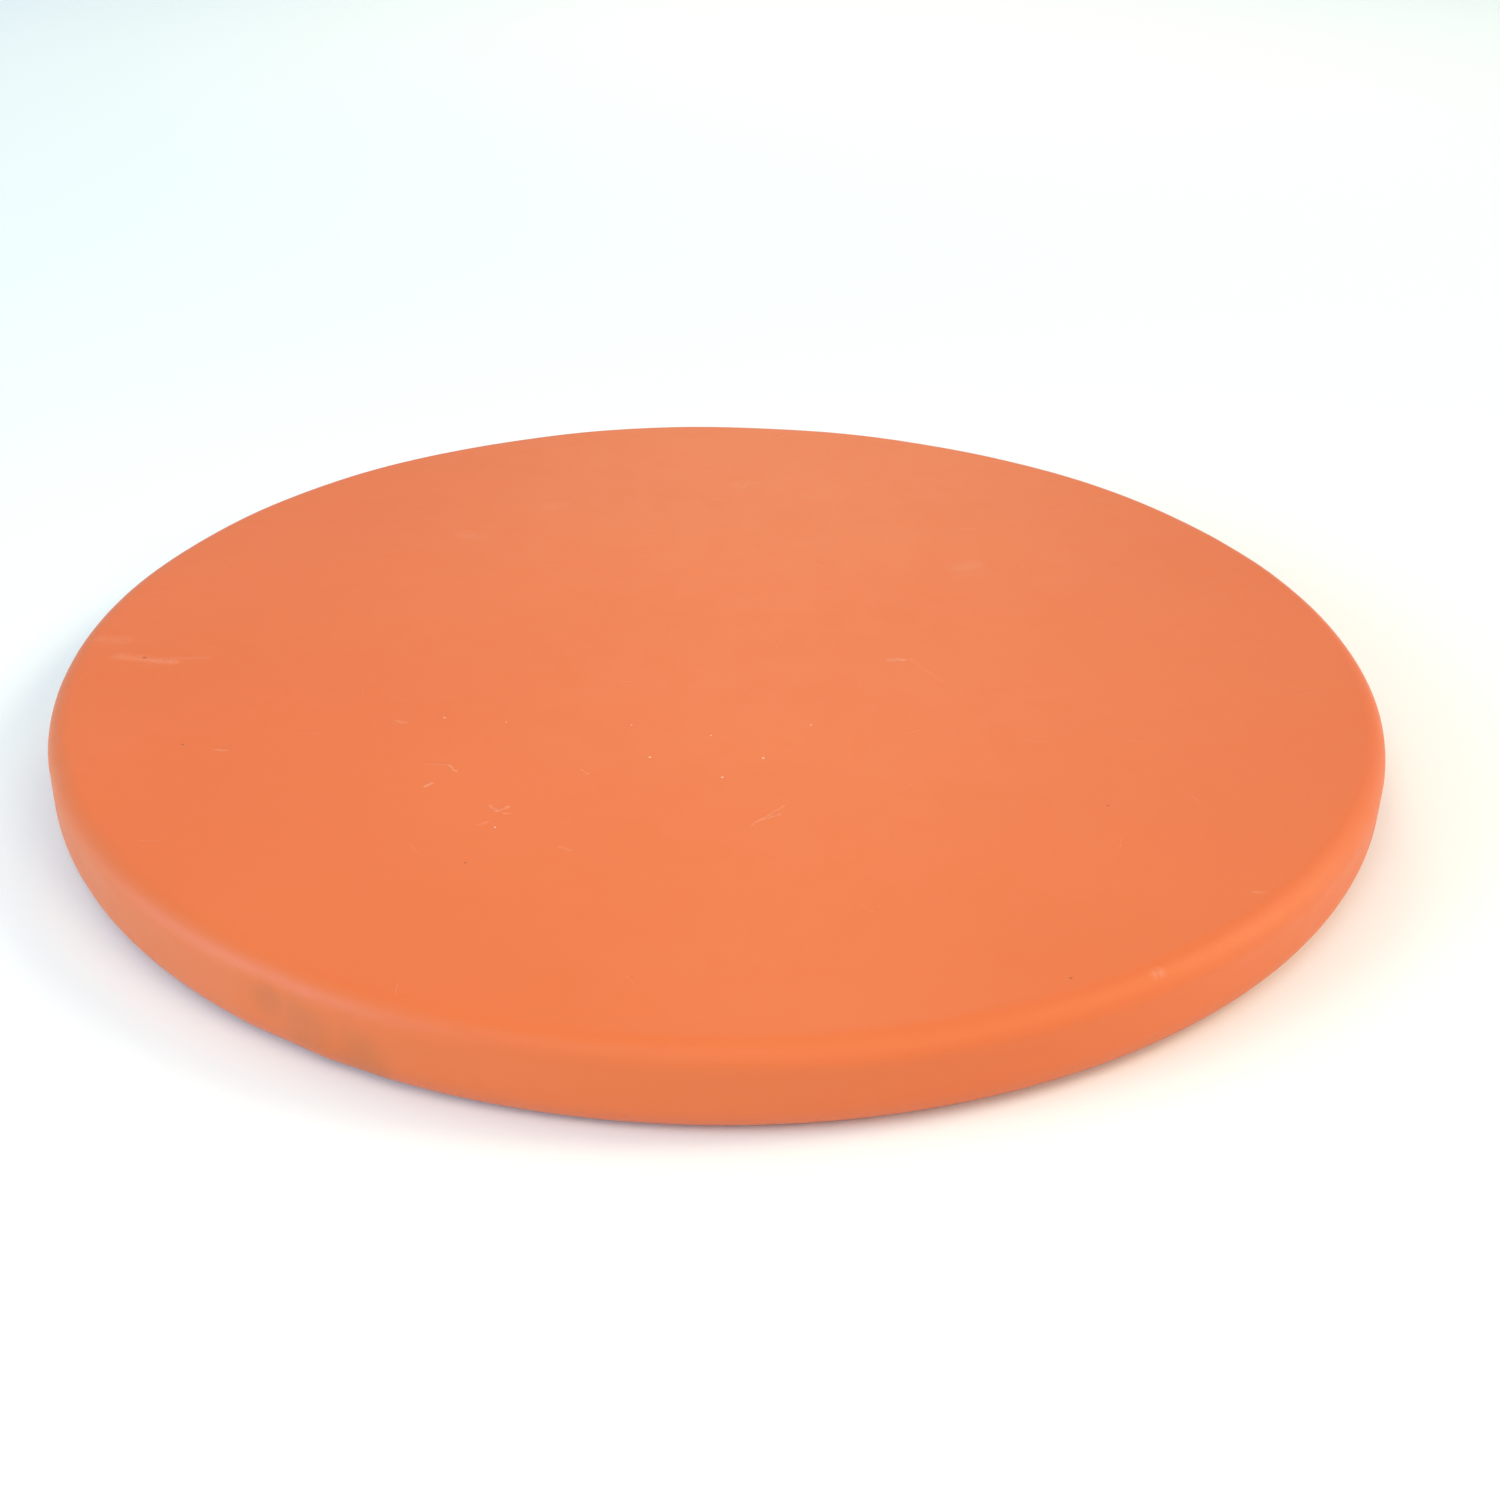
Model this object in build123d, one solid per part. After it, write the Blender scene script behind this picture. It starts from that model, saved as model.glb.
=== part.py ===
from build123d import *

import os

# A soft flying disc: a foam core, laminated from two layers of sheet foam and coated with a tough
# elastic skin. The disc is a body of revolution about Z and rests on its rim at Z = 0.
#
# Four pieces make it up:
# - foam_plate: the flight plate, a round foam sheet whose upper edge is ground round;
# - foam_rim: a foam ring, glued under the edge of the plate, which forms the rim and the hollow
#   below the plate;
# - top_skin: the coat over the plate, the shoulder, the outer wall and most of the rounded foot;
# - underside_skin: the coat over the rim's resting face, its inner wall and the ceiling of the
#   hollow.
#
# The two coats meet edge to edge in a seam that runs round the foot of the rim, low on its
# rounding. In the corner of the hollow the coat has pooled, which gives it a fillet there while
# the foam behind it stays square.

# Driving dimensions, in millimetres.
DISC_DIAMETER = 230.0
DISC_HEIGHT = 15.0
SKIN_THICKNESS = 0.5
RIM_WIDTH = 17.0
SHOULDER_RADIUS = 4.0  # upper outer edge
FOOT_RADIUS = 6.0  # lower outer edge
LIP_RADIUS = 3.0  # lower inner edge of the rim
CORNER_FILLET = 2.0  # pooled coat between the hollow's ceiling and the rim's inner wall
SEAM_DEG = 60.0  # where the two coats meet, down round the foot from the outer wall

# Radii from the axis.
OUTER = DISC_DIAMETER / 2
INNER = OUTER - RIM_WIDTH
FOAM_OUTER = OUTER - SKIN_THICKNESS
FOAM_INNER = INNER + SKIN_THICKNESS
SHOULDER = OUTER - SHOULDER_RADIUS
LAND_OUTER = OUTER - FOOT_RADIUS
LAND_INNER = INNER + LIP_RADIUS

# Heights. Both foam layers are cut from one thickness of sheet.
FOAM_SHEET = (DISC_HEIGHT - 2 * SKIN_THICKNESS) / 2
FOAM_BOTTOM = SKIN_THICKNESS
FOAM_TOP = DISC_HEIGHT - SKIN_THICKNESS
GLUE_LINE = FOAM_BOTTOM + FOAM_SHEET
CEILING = GLUE_LINE - SKIN_THICKNESS
SHOULDER_START = DISC_HEIGHT - SHOULDER_RADIUS

# Radii of the foam's rounded edges, inside the skin's.
FOAM_SHOULDER_RADIUS = SHOULDER_RADIUS - SKIN_THICKNESS
FOAM_FOOT_RADIUS = FOOT_RADIUS - SKIN_THICKNESS
FOAM_LIP_RADIUS = LIP_RADIUS - SKIN_THICKNESS


def rounding(centre_r, centre_z, radius, start_deg, sweep_deg=90.0):
    """An arc of a rounded edge in the half-section, about (centre_r, centre_z)."""
    return CenterArc((centre_r, centre_z), radius, start_deg, sweep_deg)


def shoulder_arc(radius):
    return rounding(SHOULDER, SHOULDER_START, radius, 0)


def lip_arc(radius):
    return rounding(LAND_INNER, LIP_RADIUS, radius, 180)


def run(*points):
    """A chain of straight edges through the points (r, z) of the half-section."""
    return Polyline(*points)


def seam():
    """The butt joint between the two coats, through the skin on the foot's rounding."""
    centre = Vector(LAND_OUTER, FOOT_RADIUS)
    outward = Vector(1, 0).rotate(Axis.Z, -SEAM_DEG)
    return Line(centre + outward * FOOT_RADIUS, centre + outward * FOAM_FOOT_RADIUS)


def revolved(*outline):
    """The solid that a closed half-section sweeps about Z. Its points are (radius, height)."""
    edges = [edge for line in outline for edge in line.edges()]
    return revolve(Plane.XZ * make_face(edges), axis=Axis.Z)


def foam_plate():
    return revolved(
        run((0, FOAM_TOP), (0, GLUE_LINE), (FOAM_OUTER, GLUE_LINE), (FOAM_OUTER, SHOULDER_START)),
        shoulder_arc(FOAM_SHOULDER_RADIUS),
        run((SHOULDER, FOAM_TOP), (0, FOAM_TOP)),
    )


def foam_rim():
    return revolved(
        run((FOAM_OUTER, FOOT_RADIUS), (FOAM_OUTER, GLUE_LINE), (FOAM_INNER, GLUE_LINE)),
        run((FOAM_INNER, GLUE_LINE), (FOAM_INNER, LIP_RADIUS)),
        lip_arc(FOAM_LIP_RADIUS),
        run((LAND_INNER, FOAM_BOTTOM), (LAND_OUTER, FOAM_BOTTOM)),
        rounding(LAND_OUTER, FOOT_RADIUS, FOAM_FOOT_RADIUS, 270),
    )


def top_skin():
    return revolved(
        run((0, FOAM_TOP), (0, DISC_HEIGHT), (SHOULDER, DISC_HEIGHT)),
        shoulder_arc(SHOULDER_RADIUS),
        run((OUTER, SHOULDER_START), (OUTER, FOOT_RADIUS)),
        rounding(LAND_OUTER, FOOT_RADIUS, FOOT_RADIUS, 0, -SEAM_DEG),
        seam(),
        rounding(LAND_OUTER, FOOT_RADIUS, FOAM_FOOT_RADIUS, 0, -SEAM_DEG),
        run((FOAM_OUTER, FOOT_RADIUS), (FOAM_OUTER, SHOULDER_START)),
        shoulder_arc(FOAM_SHOULDER_RADIUS),
        run((SHOULDER, FOAM_TOP), (0, FOAM_TOP)),
    )


def underside_skin():
    fillet_r = INNER - CORNER_FILLET
    fillet_z = CEILING - CORNER_FILLET
    foot_sweep = 90 - SEAM_DEG
    return revolved(
        run((0, GLUE_LINE), (0, CEILING), (fillet_r, CEILING)),
        rounding(fillet_r, fillet_z, CORNER_FILLET, 0),
        run((INNER, fillet_z), (INNER, LIP_RADIUS)),
        lip_arc(LIP_RADIUS),
        run((LAND_INNER, 0), (LAND_OUTER, 0)),
        rounding(LAND_OUTER, FOOT_RADIUS, FOOT_RADIUS, 270, foot_sweep),
        seam(),
        rounding(LAND_OUTER, FOOT_RADIUS, FOAM_FOOT_RADIUS, 270, foot_sweep),
        run((LAND_OUTER, FOAM_BOTTOM), (LAND_INNER, FOAM_BOTTOM)),
        lip_arc(FOAM_LIP_RADIUS),
        run((FOAM_INNER, LIP_RADIUS), (FOAM_INNER, GLUE_LINE), (0, GLUE_LINE)),
    )


PIECES = [foam_plate, foam_rim, top_skin, underside_skin]

os.makedirs("parts", exist_ok=True)
for piece in PIECES:
    export_step(piece(), f"parts/{piece.__name__}.step")
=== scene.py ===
"""The looks of a soft flying disc: a foam core under a matte, slightly worn elastic coat.

The four pieces are spun from one half-section, so that they share their faces. One gentle warp of
space then passes through all of them, which gives the unevenness of soft foam and keeps every
piece against its neighbour. Only the faces of the coats that show get dents and grain.

Lengths are in metres. A value times MM is in millimetres.
"""

import math

import bmesh
import bpy
from mathutils import Matrix, Vector, noise


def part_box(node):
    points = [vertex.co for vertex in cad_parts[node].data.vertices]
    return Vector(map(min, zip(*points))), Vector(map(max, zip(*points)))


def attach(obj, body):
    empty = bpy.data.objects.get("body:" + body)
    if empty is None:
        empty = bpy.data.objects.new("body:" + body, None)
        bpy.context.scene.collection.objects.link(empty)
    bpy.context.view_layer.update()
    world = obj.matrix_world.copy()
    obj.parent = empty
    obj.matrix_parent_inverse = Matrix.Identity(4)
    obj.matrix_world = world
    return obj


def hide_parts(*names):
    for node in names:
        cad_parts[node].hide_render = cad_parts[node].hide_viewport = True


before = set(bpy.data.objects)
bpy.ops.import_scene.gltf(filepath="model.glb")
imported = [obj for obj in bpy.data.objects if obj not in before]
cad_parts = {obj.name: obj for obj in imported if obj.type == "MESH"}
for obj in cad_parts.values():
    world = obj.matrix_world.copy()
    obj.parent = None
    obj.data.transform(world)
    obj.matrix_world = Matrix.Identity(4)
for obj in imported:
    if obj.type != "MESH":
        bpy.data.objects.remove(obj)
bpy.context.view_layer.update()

MM = 0.001

# The half-section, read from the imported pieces. The roundings repeat those of the CAD part.
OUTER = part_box("top_skin")[1].x
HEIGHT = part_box("top_skin")[1].z
FOAM_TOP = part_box("foam_plate")[1].z
GLUE_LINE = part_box("foam_plate")[0].z
SKIN = HEIGHT - FOAM_TOP
CEILING = GLUE_LINE - SKIN
SHOULDER_RADIUS = 4 * MM
FOOT_RADIUS = 6 * MM
LIP_RADIUS = 3 * MM
CORNER_FILLET = 2 * MM
RIM_WIDTH = 17 * MM
SEAM_DEG = -60.0  # where the coats meet, round the foot from straight outward
INNER = OUTER - RIM_WIDTH
FOAM_OUTER = OUTER - SKIN
FOAM_INNER = INNER + SKIN

# Mesh spacing: fine on the faces that show and their roundings, coarse inside the disc.
FINE = 1.0 * MM
FINE_ROUNDING = 0.6 * MM
COARSE = 3.0 * MM
COARSE_ROUNDING = 1.2 * MM
FEWEST_SIDES = 6  # of the smallest ring round the axis
SHARP_DEG = 50.0  # faces that meet at more than this are shaded with an edge between them

# The depth of each kind of unevenness and the size of its waves. The lumps and the squeeze of the
# outline are only near the edge: they start at EDGE_START and are full EDGE_BAND further out.
SAG_DEPTH = 0.12 * MM
SAG_SIZE = 70 * MM
LUMP_DEPTH = 0.16 * MM
LUMP_SIZE = 24 * MM
SQUEEZE_DEPTH = 0.16 * MM
SQUEEZE_SIZE = 35 * MM
EDGE_START = 85 * MM
EDGE_BAND = 25 * MM
GRAIN_DEPTH = 0.01 * MM
GRAIN_SIZE = 4.0 * MM

# The groove where the two coats meet.
SEAM_DEPTH = 0.16 * MM
SEAM_WIDTH = 0.45 * MM

# The camera's place and turn, in metres and degrees, and its lens and sensor, in millimetres.
CAMERA_HEIGHT = 0.1758
CAMERA_BACK = 0.3186
CAMERA_PITCH = 29.65
CAMERA_YAW = 0.99
CAMERA_ROLL = 0.98
CAMERA_LENS = 48.0
CAMERA_SENSOR = 36.0

# Shallow dents in millimetres: x, y and height of the middle, how far it reaches, and its depth.
DENTS = [
    (-61, -98, 7, 9.0, 0.45),
    (-50, -104, 5, 6.0, 0.25),
    (-108, 2, 15, 4.0, 0.12),
    (-100, -5, 15, 4.5, 0.14),
    (-96, -62, 13, 12.0, 0.25),
    (-107, -42, 14, 7.0, 0.20),
    (4, 77, 15, 5.0, 0.12),
    (47, 37, 15, 6.0, 0.12),
    (-50, 50, 15, 4.0, 0.10),
    (-34, 65, 15, 4.0, 0.10),
    (104, 48, 12, 9.0, 0.08),
    (28, 110, 9, 6.0, 0.15),
]

# ---------------------------------------------------------------- the half-section


def straight(start, end, step):
    """Points (radius, height) from start to end, without the end."""
    start = Vector(start)
    end = Vector(end)
    count = max(1, round((end - start).length / step))
    return [start.lerp(end, i / count) for i in range(count)]


def polar(centre, radius, degrees):
    angle = math.radians(degrees)
    return Vector(centre) + radius * Vector((math.cos(angle), math.sin(angle)))


def rounding(centre, radius, start_deg, end_deg, step):
    """Points round an arc of the half-section, without its last one."""
    length = radius * math.radians(abs(end_deg - start_deg))
    count = max(3, round(length / step))
    sweep = end_deg - start_deg
    return [polar(centre, radius, start_deg + sweep * i / count) for i in range(count)]


def top_run(inset, step, rounding_step):
    """Axis, flat top, shoulder and outer wall, down to the glue line."""
    shoulder = (OUTER - SHOULDER_RADIUS, HEIGHT - SHOULDER_RADIUS)
    wall = OUTER - inset
    return [
        *straight((0, HEIGHT - inset), (shoulder[0], HEIGHT - inset), step),
        *rounding(shoulder, SHOULDER_RADIUS - inset, 90, 0, rounding_step),
        *straight((wall, shoulder[1]), (wall, GLUE_LINE), rounding_step),
    ]


def foot_run(inset, rounding_step):
    """From the glue line down the wall and round the foot, as far as the seam between the coats."""
    foot = (OUTER - FOOT_RADIUS, FOOT_RADIUS)
    wall = OUTER - inset
    return [
        *straight((wall, GLUE_LINE), (wall, FOOT_RADIUS), rounding_step),
        *rounding(foot, FOOT_RADIUS - inset, 0, SEAM_DEG, rounding_step),
    ]


def seam_point(inset):
    return polar((OUTER - FOOT_RADIUS, FOOT_RADIUS), FOOT_RADIUS - inset, SEAM_DEG)


def rim_run(inset, step, rounding_step):
    """From the seam round the foot, over the resting face and the lip, to the inner wall."""
    foot = (OUTER - FOOT_RADIUS, FOOT_RADIUS)
    lip = (INNER + LIP_RADIUS, LIP_RADIUS)
    return [
        *rounding(foot, FOOT_RADIUS - inset, SEAM_DEG, -90, rounding_step),
        *straight((foot[0], inset), (lip[0], inset), step),
        *rounding(lip, LIP_RADIUS - inset, 270, 180, rounding_step),
    ]


def hollow_run(step, rounding_step):
    """The hollow's inner wall, corner fillet and ceiling, as far as the axis."""
    fillet = (INNER - CORNER_FILLET, CEILING - CORNER_FILLET)
    return [
        *straight((INNER, LIP_RADIUS), (INNER, fillet[1]), rounding_step),
        *rounding(fillet, CORNER_FILLET, 0, 90, rounding_step),
        *straight((fillet[0], CEILING), (0, CEILING), step),
        Vector((0, CEILING)),
    ]


def glue_run(start, end):
    """Along the plane of the glue between the foam layers, without the end."""
    return straight((start, GLUE_LINE), (end, GLUE_LINE), COARSE)


def foam_rim_run():
    """The foam ring from the seam round its foot and lip and up its inner wall."""
    wall = straight((FOAM_INNER, LIP_RADIUS), (FOAM_INNER, GLUE_LINE), COARSE_ROUNDING)
    return [*rim_run(SKIN, COARSE, COARSE_ROUNDING), *wall]


def foam_wall_run():
    return [*foot_run(SKIN, COARSE_ROUNDING), seam_point(SKIN)]


def foam_top_run():
    return top_run(SKIN, COARSE, COARSE_ROUNDING)


def foam_ceiling_run():
    return [*glue_run(FOAM_INNER, 0), Vector((0, GLUE_LINE))]


# ---------------------------------------------------------------- unevenness and damage


def wave(x, y, size, seed):
    """Smooth noise from -1 to 1 whose bumps are about that size across."""
    return noise.noise(Vector((x / size, y / size, seed)))


def ease(value):
    """0 below 0, 1 above 1 and a smooth step between."""
    value = min(1.0, max(0.0, value))
    return value * value * (3 - 2 * value)


def warped(point):
    """The place of a point of the even disc in the slightly uneven one."""
    x, y, z = point
    radius = math.hypot(x, y)
    high = ease(z / HEIGHT)
    near_edge = ease((radius - EDGE_START) / EDGE_BAND)
    sag = SAG_DEPTH * wave(x, y, SAG_SIZE, seed=1.3)
    lumps = LUMP_DEPTH * wave(x, y, LUMP_SIZE, seed=4.1) * near_edge
    squeeze = SQUEEZE_DEPTH * wave(x, y, SQUEEZE_SIZE, seed=7.7) * near_edge
    shrink = 1 - squeeze / max(radius, MM) * (0.3 + 0.7 * high)
    return Vector((x * shrink, y * shrink, z - (sag + lumps) * high))


def dent_depth(point):
    """How far a coat's face at that point is pressed in."""
    depth = 0.0
    for x, y, height, reach, deep in DENTS:
        away = (point - Vector((x, y, height)) * MM).length / (reach * MM)
        if away < 1:
            depth += deep * MM * (1 - away * away) ** 2
    return depth


def seam_depth(point):
    """The shallow groove where the two coats meet."""
    seam = seam_point(0)
    away = math.hypot(math.hypot(point.x, point.y) - seam.x, point.z - seam.y)
    return SEAM_DEPTH * math.exp(-((away / SEAM_WIDTH) ** 2))


def grain(point):
    """The fine orange-peel unevenness of a sprayed coat."""
    return GRAIN_DEPTH * (1 + noise.noise(point / GRAIN_SIZE))


# ---------------------------------------------------------------- from section to mesh


def sides(radius, spacing):
    """How many sides a ring of that radius has. It doubles outward, so that faces stay alike."""
    count = FEWEST_SIDES
    while 2 * math.pi * radius / count > spacing:
        count *= 2
    return count


def zip_rings(low, high):
    """Faces between two rings of vertex numbers, whose counts are equal or one a multiple."""
    few, many = sorted((low, high), key=len)
    ratio = len(many) // len(few)
    faces = []
    for i, corner in enumerate(few):
        following = few[(i + 1) % len(few)]
        fan = [many[(i * ratio + k) % len(many)] for k in range(ratio + 1)]
        if ratio == 1:
            faces.append((corner, following, fan[1], fan[0]))
            continue
        half = ratio // 2
        faces += [(fan[k], fan[k + 1], corner if k < half else following) for k in range(ratio)]
        faces.append((corner, fan[half], following))
    return faces


def pole_faces(pole, ring):
    return [(pole[0], ring[i], ring[(i + 1) % len(ring)]) for i in range(len(ring))]


def section_normals(outline):
    """The direction out of the piece at each point of its closed section."""
    normals = []
    for index, point in enumerate(outline):
        before = outline[index - 1]
        after = outline[(index + 1) % len(outline)]
        if point.x == 0:
            before, after = (point, after) if after.x > 0 else (before, point)
        along = (after - before).normalized()
        normals.append(Vector((-along.y, along.x)))
    return normals


def spun(name, shown, hidden, material):
    """A closed piece, spun from the points of its section that show and then those that don't."""
    outline = shown + hidden
    points = []
    rings = []
    for index, (place, normal) in enumerate(zip(outline, section_normals(outline))):
        on_show = index < len(shown)
        count = 1 if place.x == 0 else sides(place.x, FINE if on_show else COARSE)
        rings.append(range(len(points), len(points) + count))
        for i in range(count):
            turn = 2 * math.pi * i / count
            point = Vector((place.x * math.cos(turn), place.x * math.sin(turn), place.y))
            if on_show:
                out = Vector((normal.x * math.cos(turn), normal.x * math.sin(turn), normal.y))
                point -= out * (dent_depth(point) + seam_depth(point) + grain(point))
            points.append(warped(point))
    faces = []
    for low, high in zip(rings, rings[1:] + rings[:1]):
        if len(low) == 1 or len(high) == 1:
            pole, ring = sorted((low, high), key=len)
            faces += pole_faces(pole, ring) if len(ring) > 1 else []
        else:
            faces += zip_rings(low, high)
    return made_piece(name, points, faces, material)


def made_piece(name, points, faces, material):
    """A smooth-shaded mesh object that replaces the CAD node of that name and rides on its body."""
    mesh = bpy.data.meshes.new(name + "_mesh")
    mesh.from_pydata(points, [], faces)
    tidy = bmesh.new()
    tidy.from_mesh(mesh)
    bmesh.ops.recalc_face_normals(tidy, faces=tidy.faces)
    tidy.to_mesh(mesh)
    tidy.free()
    mesh.shade_smooth()
    mesh.set_sharp_from_angle(angle=math.radians(SHARP_DEG))
    mesh.materials.append(material)
    piece = bpy.data.objects.new(name + "_look", mesh)
    bpy.context.scene.collection.objects.link(piece)
    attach(piece, "root")
    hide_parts(name)
    return piece


# ---------------------------------------------------------------- materials


class Graph:
    """Builds a material's nodes. An input may be a plain value or another node's output."""

    def __init__(self, name):
        self.material = bpy.data.materials.new(name)
        self.material.use_nodes = True
        self.tree = self.material.node_tree
        self.shader = self.tree.nodes["Principled BSDF"]
        self.place = self.add("ShaderNodeTexCoord").outputs["Object"]

    def add(self, kind, inputs=None, **settings):
        node = self.tree.nodes.new(kind)
        for setting, value in settings.items():
            setattr(node, setting, value)
        for socket, value in (inputs or {}).items():
            self.feed(node.inputs[socket], value)
        return node

    def feed(self, socket, value):
        if isinstance(value, bpy.types.NodeSocket):
            self.tree.links.new(value, socket)
        else:
            socket.default_value = value

    def maths(self, operation, first, second=0.0):
        return self.add("ShaderNodeMath", {0: first, 1: second}, operation=operation).outputs[0]

    def times(self, first, second):
        return self.maths("MULTIPLY", first, second)

    def greater(self, first, second):
        return self.maths("MAXIMUM", first, second)

    def vector(self, operation, first, second=(0, 0, 0)):
        return self.add("ShaderNodeVectorMath", {0: first, 1: second}, operation=operation)

    def noise(self, size, detail, roughness=0.5):
        """Noise with bumps of about that size, from 0 to 1."""
        node = self.add("ShaderNodeTexNoise", {"Vector": self.place, "Scale": 1 / size})
        self.feed(node.inputs["Detail"], detail)
        self.feed(node.inputs["Roughness"], roughness)
        return node.outputs["Fac"]

    def ramp(self, value, low, high, to_low=0.0, to_high=1.0):
        """A smooth step from to_low to to_high, as the value goes from low to high."""
        inputs = {"Value": value, "From Min": low, "From Max": high}
        inputs |= {"To Min": to_low, "To Max": to_high}
        return self.add("ShaderNodeMapRange", inputs, interpolation_type="SMOOTHSTEP").outputs[0]

    def blend(self, mask, first, second):
        """second over first by mask. These sockets are the colour ones of the Mix node."""
        node = self.add("ShaderNodeMix", {0: mask, 6: first, 7: second}, data_type="RGBA")
        return node.outputs[2]

    def blobs(self, spots):
        """1 at the centre of any round spot (x, y, z, radius), in millimetres, and 0 outside them."""
        total = 0.0
        for x, y, z, radius in spots:
            away = self.vector("DISTANCE", self.place, Vector((x, y, z)) * MM).outputs["Value"]
            total = self.greater(self.ramp(away, radius * MM, 0.2 * radius * MM), total)
        return total

    def stroke(self, start, end, reach, place):
        """1 on the line between two points, falling to 0 at that reach from it, in millimetres."""
        start = Vector(start) * MM
        span = Vector(end) * MM - start
        offset = self.vector("SUBTRACT", place, start).outputs[0]
        along = self.vector("DOT_PRODUCT", offset, span / span.length_squared).outputs["Value"]
        along = self.add("ShaderNodeClamp", {"Value": along}).outputs[0]
        nearest = self.add("ShaderNodeVectorMath", {0: span, "Scale": along}, operation="SCALE")
        away = self.vector("DISTANCE", offset, nearest.outputs[0]).outputs["Value"]
        return self.ramp(away, reach * MM, 0.0)

    def cells(self, size, place):
        """How far the place is from its cell's own point, and the cell's own random colour."""
        node = self.add("ShaderNodeTexVoronoi", {"Vector": place, "Scale": 1 / size})
        offset = self.vector("SUBTRACT", place, node.outputs["Position"]).outputs[0]
        return offset, node.outputs["Color"]

    def hairs(self, size, length, width, share, place):
        """Short fine dashes that lie flat, in some of the cells of that size, each turned its own way.

        The length and the width are measured from the middle of a dash.
        """
        offset, random_colour = self.cells(size, place)
        channels = self.add("ShaderNodeSeparateColor", {"Color": random_colour}).outputs
        inputs = {"Vector": offset, "Angle": self.times(channels["Red"], math.pi)}
        turned = self.add("ShaderNodeVectorRotate", inputs, rotation_type="Z_AXIS").outputs[0]
        axes = self.add("ShaderNodeSeparateXYZ", {"Vector": turned}).outputs
        along = self.ramp(self.maths("ABSOLUTE", axes["X"]), length, 0.3 * length)
        across = self.ramp(self.maths("ABSOLUTE", axes["Y"]), width, 0.0)
        present = self.ramp(channels["Green"], share, 0.7 * share)
        return self.times(self.times(along, across), present)

    def level_faces(self):
        """1 on faces that lie level and 0 on walls."""
        geometry = self.add("ShaderNodeNewGeometry")
        normal = self.add("ShaderNodeSeparateXYZ", {"Vector": geometry.outputs["Normal"]})
        return self.ramp(self.maths("ABSOLUTE", normal.outputs["Z"]), 0.8, 0.95)

    def specks(self, size, radius, share):
        """Tiny round dots, in some of the cells of that size."""
        offset, random_colour = self.cells(size, self.place)
        channels = self.add("ShaderNodeSeparateColor", {"Color": random_colour}).outputs
        away = self.vector("LENGTH", offset).outputs["Value"]
        dot = self.ramp(away, radius, 0.3 * radius)
        return self.times(dot, self.ramp(channels["Blue"], share, 0.8 * share))

    def bump(self, height, strength, distance, normal=None):
        inputs = {"Height": height, "Strength": strength, "Distance": distance}
        if normal is not None:
            inputs["Normal"] = normal
        return self.add("ShaderNodeBump", inputs).outputs["Normal"]


ORANGE = (0.695, 0.144, 0.032, 1)
ORANGE_PALE = (0.710, 0.160, 0.042, 1)
ORANGE_DEEP = (0.670, 0.130, 0.026, 1)
# The pale colour of rubs and scratches, also used as a painted highlight along the crease on the top.
SCUFFED_AND_HIGHLIGHT = (0.80, 0.42, 0.28, 1)
DUST = (0.82, 0.70, 0.62, 1)
# The colour of dark specks of grime, also used as painted shade in the pit of that crease.
GRIME_AND_SHADE = (0.36, 0.07, 0.025, 1)
STAIN = (0.47, 0.120, 0.026, 1)
FOAM_FRESH = (0.86, 0.80, 0.62, 1)
FOAM_AGED = (0.80, 0.70, 0.46, 1)
# Painted shade: the dark colour given to the sunk pores of the foam's cells.
FOAM_CELL_SHADE = (0.42, 0.35, 0.20, 1)

# The strength of the stray hairs, on the scale of the rubs below.
STRAY_HAIR_STRENGTH = 0.45

# How much of each kind of mark's colour covers the coat's, where the mark is at its strongest.
STAIN_COVER = 0.50
RUB_AND_HIGHLIGHT_COVER = 0.53
LIGHT_SPECK_COVER = 0.70
DARK_SPECK_AND_SHADE_COVER = 0.80

# Marks on the top, in millimetres from the middle of the disc. The pale ones are rubs and scratches,
# and on the crease at the left also a painted highlight, each with its start, its end, how far it
# reaches to each side, and its strength.
RUBS_AND_CREASE_HIGHLIGHT = [
    # The first four lie on the crease at the left: a pale rub and a painted highlight on the crease's
    # edge that faces the lamps on the left.
    ((-105.5, -5.0), (-101.5, -5.5), 1.9, 0.30),
    ((-100.0, -6.0), (-95.5, -6.8), 1.7, 0.42),
    ((-96.0, -5.5), (-90.0, -5.2), 0.7, 0.25),
    ((-110.5, 1.8), (-106.0, 1.6), 2.4, 0.22),
    ((-81.5, -37.6), (-79.5, -37.9), 0.5, 0.50),
    ((-53.6, -27.4), (-52.2, -28.1), 0.7, 0.40),
    ((-47.0, -41.8), (-43.2, -41.7), 0.4, 0.35),
    ((-43.3, -42.0), (-41.9, -43.9), 0.4, 0.80),
    ((-46.1, -48.7), (-45.3, -47.6), 0.45, 0.80),
    ((-35.4, -54.2), (-34.2, -55.9), 0.4, 0.70),
    ((-34.2, -55.9), (-32.5, -54.4), 0.4, 0.60),
    ((-33.2, -56.6), (-32.1, -56.6), 0.4, 0.50),
    ((-36.6, -60.0), (-35.4, -59.1), 0.6, 0.35),
    ((5.0, -59.2), (10.0, -53.5), 0.4, 0.45),
    ((6.1, -58.0), (9.3, -56.1), 0.4, 0.60),
    ((-24.0, -65.8), (-22.1, -66.9), 0.6, 0.30),
    ((-22.2, -42.9), (-20.9, -44.3), 0.4, 0.50),
    ((30.0, -3.5), (32.2, -3.5), 1.1, 0.60),
    ((33.5, -3.2), (38.4, -11.7), 0.8, 0.15),
    ((78.0, -76.6), (79.2, -76.7), 0.6, 0.50),
    ((3.6, 77.0), (5.4, 78.0), 3.4, 0.34),
    ((46.0, 36.0), (49.5, 38.0), 3.0, 0.28),
    ((-51.0, 50.0), (-49.0, 49.0), 3.2, 0.22),
    ((-35.0, 64.5), (-33.5, 65.5), 3.4, 0.20),
    ((59.9, -96.0), (60.7, -95.6), 1.3, 0.45),
]
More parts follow.
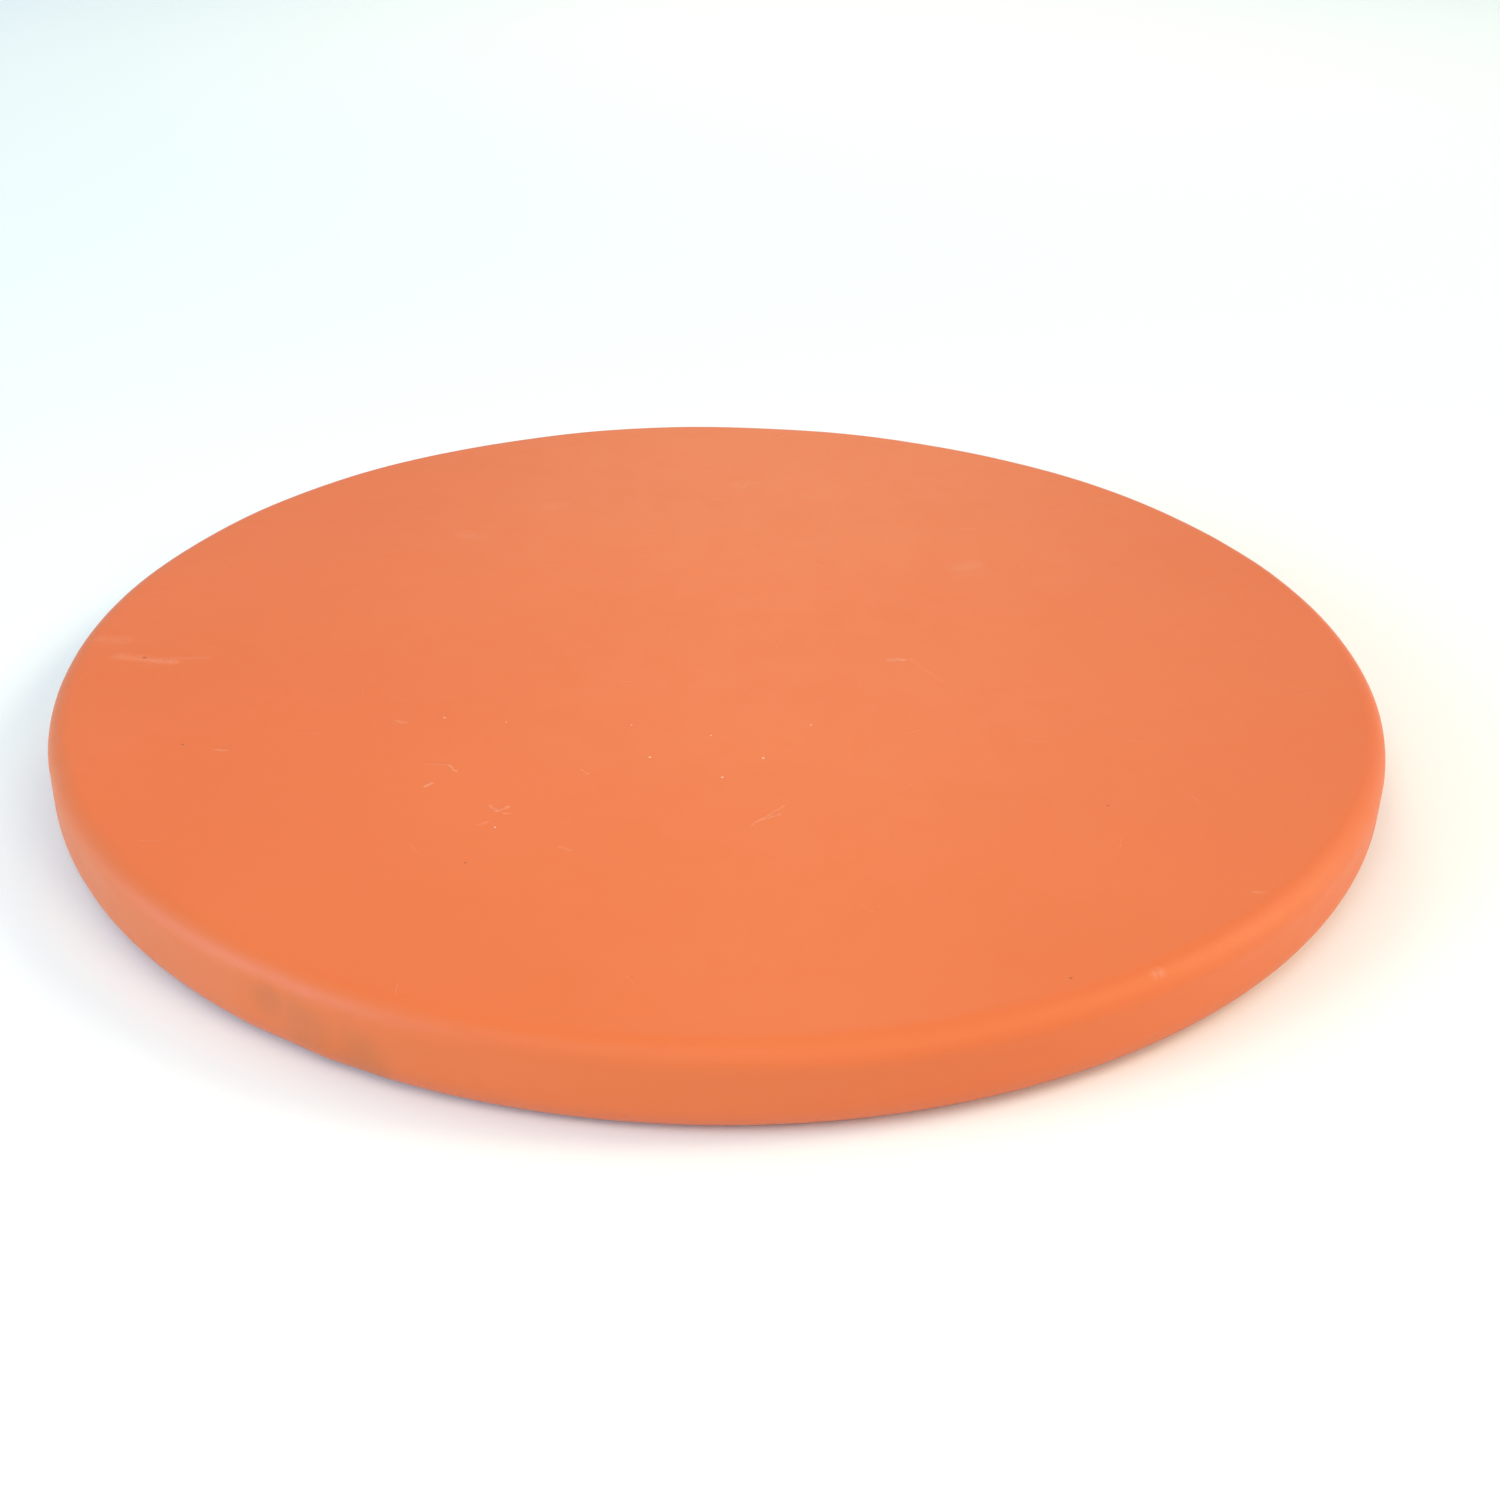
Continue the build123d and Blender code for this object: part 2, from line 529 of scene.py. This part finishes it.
# Specks on the top: x, y and radius.
LIGHT_SPECKS = [
    (-11.3, -38.7, 0.30), (0.4, -44.9, 0.30), (7.0, -38.7, 0.32), (-14.7, -28.0, 0.22),
    (-1.5, -31.4, 0.22), (15.1, -27.5, 0.24), (-45.9, -26.1, 0.26), (-34.0, -60.5, 0.24),
    (-35.5, -27.4, 0.20),
]
# The dark speck at (-101.0, -5.1) is painted shade in the pit of the crease; the others are grime.
DARK_SPECKS_AND_PIT_SHADE = [
    (60.5, -52.7, 0.35), (-101.0, -5.1, 0.60), (-87.0, -36.0, 0.40), (48.0, -98.0, 0.35),
    (-37.4, -70.5, 0.35),
]
# Dull smudges on the outer wall: x, y, height and radius.
STAINS = [(-62, -97, 9, 4.5), (-56, -100, 7, 7), (-48, -104, 5, 7), (20, 113, 6, 6)]


def on_top(x, y):
    """The point of the flat top or the shoulder above (x, y), in millimetres."""
    past = max(0.0, math.hypot(x, y) * MM - OUTER + SHOULDER_RADIUS)
    drop = SHOULDER_RADIUS - math.sqrt(SHOULDER_RADIUS**2 - past**2)
    return x, y, (HEIGHT - drop) / MM


def top_marks(graph, place):
    """Masks of the pale rub marks with the crease's painted highlight, the light specks, and the dark
    specks with the painted shade of its pit, that are on the top.
    """
    rubs_and_highlight = 0.0
    for start, end, reach, strength in RUBS_AND_CREASE_HIGHLIGHT:
        stroke = graph.stroke(on_top(*start), on_top(*end), reach, place)
        rubs_and_highlight = graph.greater(graph.times(stroke, strength), rubs_and_highlight)
    light = graph.blobs([(*on_top(x, y), radius) for x, y, radius in LIGHT_SPECKS])
    dark = graph.blobs([(*on_top(x, y), radius) for x, y, radius in DARK_SPECKS_AND_PIT_SHADE])
    return rubs_and_highlight, light, dark


def crooked_place(graph):
    """The place on the surface, moved a little to and fro, which makes straight marks uneven."""
    inputs = {"Vector": graph.place, "Scale": 1 / (1.2 * MM), "Detail": 1.0}
    drift = graph.add("ShaderNodeTexNoise", inputs).outputs["Color"]
    centred = graph.vector("SUBTRACT", drift, (0.5, 0.5, 0.5)).outputs[0]
    shift = graph.vector("MULTIPLY", centred, (0.7 * MM, 0.7 * MM, 0.0)).outputs[0]
    return graph.vector("ADD", graph.place, shift).outputs[0]


def mottled_orange(graph, patches):
    """The clean coat's colour, which drifts from place to place and is a little grainy."""
    broad = graph.ramp(graph.noise(55 * MM, detail=1), 0.3, 0.7)
    fine = graph.noise(0.6 * MM, detail=3, roughness=0.65)
    colour = graph.blend(broad, ORANGE_DEEP, ORANGE_PALE)
    colour = graph.blend(0.75, colour, ORANGE)
    colour = graph.blend(graph.times(patches, 0.04), colour, ORANGE_PALE)
    return graph.blend(graph.ramp(fine, 0.56, 0.8, to_high=0.16), colour, ORANGE_DEEP)


def coat_marks(graph, is_top):
    """Masks of the rub marks with the crease's painted highlight, the light specks, and the dark
    specks with the painted shade of its pit: stray ones, and those of the top.
    """
    crooked = crooked_place(graph)
    rubs_and_highlight = graph.hairs(size=17 * MM, length=2.2 * MM, width=0.12 * MM, share=0.35, place=crooked)
    rubs_and_highlight = graph.times(graph.times(rubs_and_highlight, STRAY_HAIR_STRENGTH), graph.level_faces())
    light = graph.specks(size=9 * MM, radius=0.16 * MM, share=0.3)
    dark = graph.specks(size=23 * MM, radius=0.24 * MM, share=0.25)
    if is_top:
        top_rubs_and_highlight, top_light, top_dark = top_marks(graph, crooked)
        rubs_and_highlight = graph.greater(rubs_and_highlight, top_rubs_and_highlight)
        light = graph.greater(light, top_light)
        dark = graph.greater(dark, top_dark)
    return rubs_and_highlight, light, dark


def marked(graph, colour, rubs_and_highlight, light, dark):
    """The coat's colour with the stains, the rub marks and the specks over it, with a painted
    highlight along the crease and painted shade in its pit.
    """
    cloudy = graph.ramp(graph.noise(6 * MM, detail=3), 0.3, 0.7, to_low=0.6)
    broken = graph.ramp(graph.noise(0.7 * MM, detail=2), 0.3, 0.6, to_low=0.45)
    stains = graph.times(graph.blobs(STAINS), cloudy)
    scuffs_and_highlight = graph.times(rubs_and_highlight, broken)
    colour = graph.blend(graph.times(stains, STAIN_COVER), colour, STAIN)
    # The rub colour is also a painted highlight along the crease, and the grime colour below is also
    # painted shade in its pit.
    colour = graph.blend(graph.times(scuffs_and_highlight, RUB_AND_HIGHLIGHT_COVER), colour, SCUFFED_AND_HIGHLIGHT)
    colour = graph.blend(graph.times(light, LIGHT_SPECK_COVER), colour, DUST)
    return graph.blend(graph.times(dark, DARK_SPECK_AND_SHADE_COVER), colour, GRIME_AND_SHADE)


def coat_relief(graph, rubs_and_highlight, dark):
    """The coat's fine grain, with the rub marks and the crease's painted highlight raised, and the
    dark specks and the painted shade of the crease's pit sunk into it.
    """
    peel = graph.noise(2.6 * MM, detail=2)
    fine = graph.noise(0.45 * MM, detail=2, roughness=0.6)
    marks = graph.maths("SUBTRACT", rubs_and_highlight, dark)
    normal = graph.bump(peel, strength=0.12, distance=0.10 * MM)
    normal = graph.bump(fine, strength=0.35, distance=0.05 * MM, normal=normal)
    return graph.bump(marks, strength=0.6, distance=0.12 * MM, normal=normal)


def coat_material(name, is_top):
    """A matte elastic coat, sprayed on foam: faintly mottled, finely grained, scuffed and stained, and
    on the top a painted highlight and painted shade at a crease.
    """
    graph = Graph(name)
    patches = graph.ramp(graph.noise(6 * MM, detail=3, roughness=0.6), 0.35, 0.7)
    rubs_and_highlight, light, dark = coat_marks(graph, is_top)
    colour = marked(graph, mottled_orange(graph, patches), rubs_and_highlight, light, dark)
    roughness = graph.ramp(patches, 0.0, 1.0, to_low=0.54, to_high=0.58)
    roughness = graph.maths("ADD", roughness, graph.times(rubs_and_highlight, 0.2))
    graph.feed(graph.shader.inputs["Base Color"], colour)
    graph.feed(graph.shader.inputs["Roughness"], roughness)
    graph.feed(graph.shader.inputs["Normal"], coat_relief(graph, rubs_and_highlight, dark))
    graph.shader.inputs["Specular IOR Level"].default_value = 0.42
    graph.shader.inputs["Sheen Weight"].default_value = 0.05
    graph.shader.inputs["Sheen Roughness"].default_value = 0.45
    return graph.material


def foam_material(name):
    """Soft pale foam: open cells whose pores are painted dark as shade, thin pale walls and a little
    yellowing.
    """
    graph = Graph(name)
    inputs = {"Vector": graph.place, "Scale": 1 / (0.9 * MM)}
    cells = graph.add("ShaderNodeTexVoronoi", inputs, feature="SMOOTH_F1").outputs["Distance"]
    walls = graph.ramp(cells, 0.15, 0.6)
    aged = graph.ramp(graph.noise(22 * MM, detail=3), 0.3, 0.7)
    # Painted shade: the middles of the cells, which the bump sinks, are darkened.
    shaded_mouths = graph.times(graph.maths("SUBTRACT", 1.0, walls), 0.55)
    colour = graph.blend(shaded_mouths, graph.blend(aged, FOAM_FRESH, FOAM_AGED), FOAM_CELL_SHADE)
    graph.feed(graph.shader.inputs["Base Color"], colour)
    roughness = graph.ramp(aged, 0.0, 1.0, to_low=0.85, to_high=0.95)
    graph.feed(graph.shader.inputs["Roughness"], roughness)
    graph.feed(graph.shader.inputs["Normal"], graph.bump(walls, strength=0.8, distance=0.3 * MM))
    graph.shader.inputs["Sheen Weight"].default_value = 0.2
    return graph.material


# ---------------------------------------------------------------- the four pieces


def build_disc():
    coat = coat_material("coat_top", is_top=True)
    under_coat = coat_material("coat_underside", is_top=False)
    foam = foam_material("foam_cut")
    top = top_run(0, FINE, FINE_ROUNDING) + foot_run(0, FINE_ROUNDING) + [seam_point(0)]
    under = rim_run(0, FINE, FINE_ROUNDING) + hollow_run(FINE, FINE_ROUNDING)
    inside_top = foam_top_run() + foam_wall_run()
    inside_under = foam_rim_run() + foam_ceiling_run()
    spun("top_skin", top, inside_top[::-1], coat)
    spun("underside_skin", under, inside_under[::-1], under_coat)
    plate = foam_top_run() + glue_run(FOAM_OUTER, FOAM_INNER) + foam_ceiling_run()
    rim = foam_wall_run() + foam_rim_run()[1:] + glue_run(FOAM_INNER, FOAM_OUTER)
    for name, section in (("foam_plate", plate), ("foam_rim", rim)):
        piece = spun(name, [], section, foam)


# ---------------------------------------------------------------- floor, light and camera


FLOOR_REACH = 3.0
FLOOR_COLOUR = (0.89, 0.955, 0.95, 1)


def build_floor():
    mesh = bpy.data.meshes.new("floor_mesh")
    corners = [(-1, -1), (1, -1), (1, 1), (-1, 1)]
    points = [(x * FLOOR_REACH, y * FLOOR_REACH, 0) for x, y in corners]
    mesh.from_pydata(points, [], [(0, 1, 2, 3)])
    floor = bpy.data.objects.new("floor", mesh)
    bpy.context.scene.collection.objects.link(floor)
    material = bpy.data.materials.new("floor_white")
    material.use_nodes = True
    shader = material.node_tree.nodes["Principled BSDF"]
    shader.inputs["Base Color"].default_value = FLOOR_COLOUR
    shader.inputs["Roughness"].default_value = 0.9
    shader.inputs["Specular IOR Level"].default_value = 0.2
    mesh.materials.append(material)


# Each lamp: its azimuth and elevation seen from the disc, in degrees, with azimuth 0 along +Y and
# 90 along +X, its distance and width in metres, and its power in red, green and blue.
LAMPS = {
    "left": (-112, 18, 2.4, 1.4, (16.5, 28.0, 35.0)),
    "left_low": (-100, 8, 2.4, 0.6, (3.0, 3.6, 9.0)),
    "right_low": (90, 15, 2.4, 0.7, (9.0, 10.5, 6.0)),
    "right_high": (85, 38, 2.4, 0.9, (20.5, 16.5, 10.3)),
    "front_right": (135, 35, 2.4, 0.9, (15.5, 9.0, 5.6)),
    "front": (-165, 50, 0.7, 0.35, (0.95, 0.88, 0.80)),
    "back": (3, 30, 1.0, 0.35, (1.50, 1.16, 0.60)),
    "overhead": (-140, 72, 0.28, 0.2, (0.125, 0.080, 0.025)),
}
# The even light from all round, in red, green and blue.
WORLD_LIGHT = (0.38, 0.49, 0.61)


def build_lamp(name, azimuth, elevation, distance, width, power):
    lamp = bpy.data.lights.new(name, "AREA")
    lamp.shape = "DISK"
    lamp.size = width
    strongest = max(power)
    lamp.energy = strongest
    lamp.color = [channel / strongest for channel in power]
    holder = bpy.data.objects.new(name, lamp)
    turn = math.radians(azimuth)
    rise = math.radians(elevation)
    level = math.cos(rise)
    towards = Vector((math.sin(turn) * level, math.cos(turn) * level, math.sin(rise)))
    holder.location = towards * distance
    holder.rotation_euler = towards.to_track_quat("Z", "Y").to_euler()
    bpy.context.scene.collection.objects.link(holder)


def build_lights():
    for name, lamp in LAMPS.items():
        build_lamp(name, *lamp)
    world = bpy.data.worlds.new("studio")
    world.use_nodes = True
    world.node_tree.nodes["Background"].inputs["Color"].default_value = (*WORLD_LIGHT, 1)
    bpy.context.scene.world = world


def build_camera():
    data = bpy.data.cameras.new("camera")
    data.lens = CAMERA_LENS
    data.sensor_width = CAMERA_SENSOR
    data.clip_start = 10 * MM
    camera = bpy.data.objects.new("camera", data)
    camera.location = (0, -CAMERA_BACK, CAMERA_HEIGHT)
    camera.rotation_mode = "QUATERNION"
    aim = Vector((math.tan(math.radians(CAMERA_YAW)), 1, 0)).normalized()
    pitch = math.radians(CAMERA_PITCH)
    forward = aim * math.cos(pitch) - Vector((0, 0, math.sin(pitch)))
    level = forward.to_track_quat("-Z", "Y")
    roll = Matrix.Rotation(math.radians(CAMERA_ROLL), 3, "Z").to_quaternion()
    camera.rotation_quaternion = level @ roll
    bpy.context.scene.collection.objects.link(camera)
    bpy.context.scene.camera = camera


build_disc()
build_floor()
build_lights()
build_camera()
bpy.context.scene.view_settings.view_transform = "Standard"
